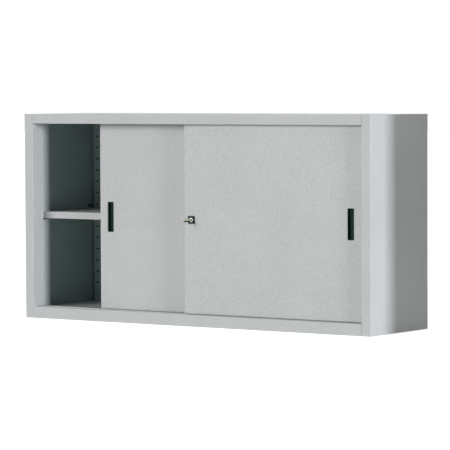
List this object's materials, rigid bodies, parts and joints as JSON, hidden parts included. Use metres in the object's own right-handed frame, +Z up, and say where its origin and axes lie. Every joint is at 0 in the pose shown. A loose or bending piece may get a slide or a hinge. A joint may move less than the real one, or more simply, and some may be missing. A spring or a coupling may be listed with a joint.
{
  "type": "sliding door cabinet",
  "caption": "Wide, low sheet-steel cabinet with bypassing sliding doors on rollers, recessed pulls, a key lock, and adjustable shelves on slotted racks.",
  "frame": {"origin": "centre of the flat underside of the bottom panel", "axes": "+X along the width to the right as seen from the front, +Y to the back, +Z up"},
  "size_m": [1.8, 0.4918, 0.9],
  "materials": {
    "grey_paint": "fine textured powder coat",
    "black_plastic": "moulded, fine grain",
    "white_nylon": "moulded",
    "zinc_steel": "zinc plated",
    "nickel": "nickel plated",
    "black_rubber": "matt"
  },
  "bodies": {
    "carcass": {"left_side_panel": "grey_paint", "right_side_panel": "grey_paint", "left_jamb": "grey_paint", "right_jamb": "grey_paint", "left_wall_liner": "grey_paint", "right_wall_liner": "grey_paint", "top_rail": "grey_paint", "bottom_rail": "grey_paint", "top_panel": "grey_paint", "bottom_panel": "grey_paint", "back_panel": "grey_paint", "floor_panel": "grey_paint", "bottom_track": "grey_paint", "top_track": "grey_paint", "centre_partition": "grey_paint", "left_wall_rack": "grey_paint", "partition_left_rack": "grey_paint", "partition_right_rack": "grey_paint", "right_wall_rack": "grey_paint", "left_shelf": "grey_paint", "right_shelf": "grey_paint", "floor_support_hat": "zinc_steel", "left_wall_rear_hook": "zinc_steel", "left_wall_front_hook": "zinc_steel", "partition_left_rear_hook": "zinc_steel", "partition_left_front_hook": "zinc_steel", "partition_right_rear_hook": "zinc_steel", "partition_right_front_hook": "zinc_steel", "right_wall_rear_hook": "zinc_steel", "right_wall_front_hook": "zinc_steel", "left_door_stop": "black_rubber", "right_door_stop": "black_rubber"},
    "front_door": {"front_door_skin": "grey_paint", "front_door_stiffener": "zinc_steel", "front_door_handle": "black_plastic", "front_door_top_guide": "white_nylon", "front_door_left_roller_housing": "black_plastic", "front_door_right_roller_housing": "black_plastic", "front_door_left_axle": "zinc_steel", "front_door_right_axle": "zinc_steel", "lock_plate": "black_plastic", "lock_barrel": "nickel", "lock_nut": "zinc_steel"},
    "rear_door": {"rear_door_skin": "grey_paint", "rear_door_stiffener": "zinc_steel", "rear_door_handle": "black_plastic", "rear_door_top_guide": "white_nylon", "rear_door_left_roller_housing": "black_plastic", "rear_door_right_roller_housing": "black_plastic", "rear_door_left_axle": "zinc_steel", "rear_door_right_axle": "zinc_steel", "lock_strike": "zinc_steel"},
    "front_door_left_wheel": {"front_door_left_roller": "white_nylon"},
    "front_door_right_wheel": {"front_door_right_roller": "white_nylon"},
    "rear_door_left_wheel": {"rear_door_left_roller": "white_nylon"},
    "rear_door_right_wheel": {"rear_door_right_roller": "white_nylon"},
    "lock_core": {"lock_plug": "nickel", "lock_cam": "zinc_steel", "lock_cam_screw": "zinc_steel"},
    "key_body": {"key": "nickel"}
  },
  "joints": [
    {"name": "front_door_slide", "type": "slide", "parent": "carcass", "child": "front_door", "axis": [1, 0, 0], "range_m": [-0.8068, 0]},
    {"name": "rear_door_slide", "type": "slide", "parent": "carcass", "child": "rear_door", "axis": [1, 0, 0], "range_m": [-0.335, 0.4718]},
    {"name": "front_door_left_roller_spin", "type": "hinge", "parent": "front_door", "child": "front_door_left_wheel", "pos_m": [0.0464, -0.197, 0.063], "axis": [0, 1, 0], "range_deg": [-4204, 2]},
    {"name": "front_door_right_roller_spin", "type": "hinge", "parent": "front_door", "child": "front_door_right_wheel", "pos_m": [0.7604, -0.197, 0.063], "axis": [0, 1, 0], "range_deg": [-4204, 2]},
    {"name": "rear_door_left_roller_spin", "type": "hinge", "parent": "rear_door", "child": "rear_door_left_wheel", "pos_m": [-0.4254, -0.169, 0.063], "axis": [0, 1, 0], "range_deg": [-1747, 2460]},
    {"name": "rear_door_right_roller_spin", "type": "hinge", "parent": "rear_door", "child": "rear_door_right_wheel", "pos_m": [0.2886, -0.169, 0.063], "axis": [0, 1, 0], "range_deg": [-1747, 2460]},
    {"name": "key_turn", "type": "hinge", "parent": "front_door", "child": "lock_core", "pos_m": [-0.0061, -0.207, 0.453], "axis": [0, -1, 0], "range_deg": [0, 90]},
    {"name": "key_pull", "type": "slide", "parent": "lock_core", "child": "key_body", "axis": [0, -1, 0], "range_m": [0, 0.02]}
  ],
  "couplings": [
    {"joint": "front_door_left_roller_spin", "follows": "front_door_slide", "rad_per_m": 90.909},
    {"joint": "front_door_right_roller_spin", "follows": "front_door_slide", "rad_per_m": 90.909},
    {"joint": "rear_door_left_roller_spin", "follows": "rear_door_slide", "rad_per_m": 90.909},
    {"joint": "rear_door_right_roller_spin", "follows": "rear_door_slide", "rad_per_m": 90.909}
  ]
}
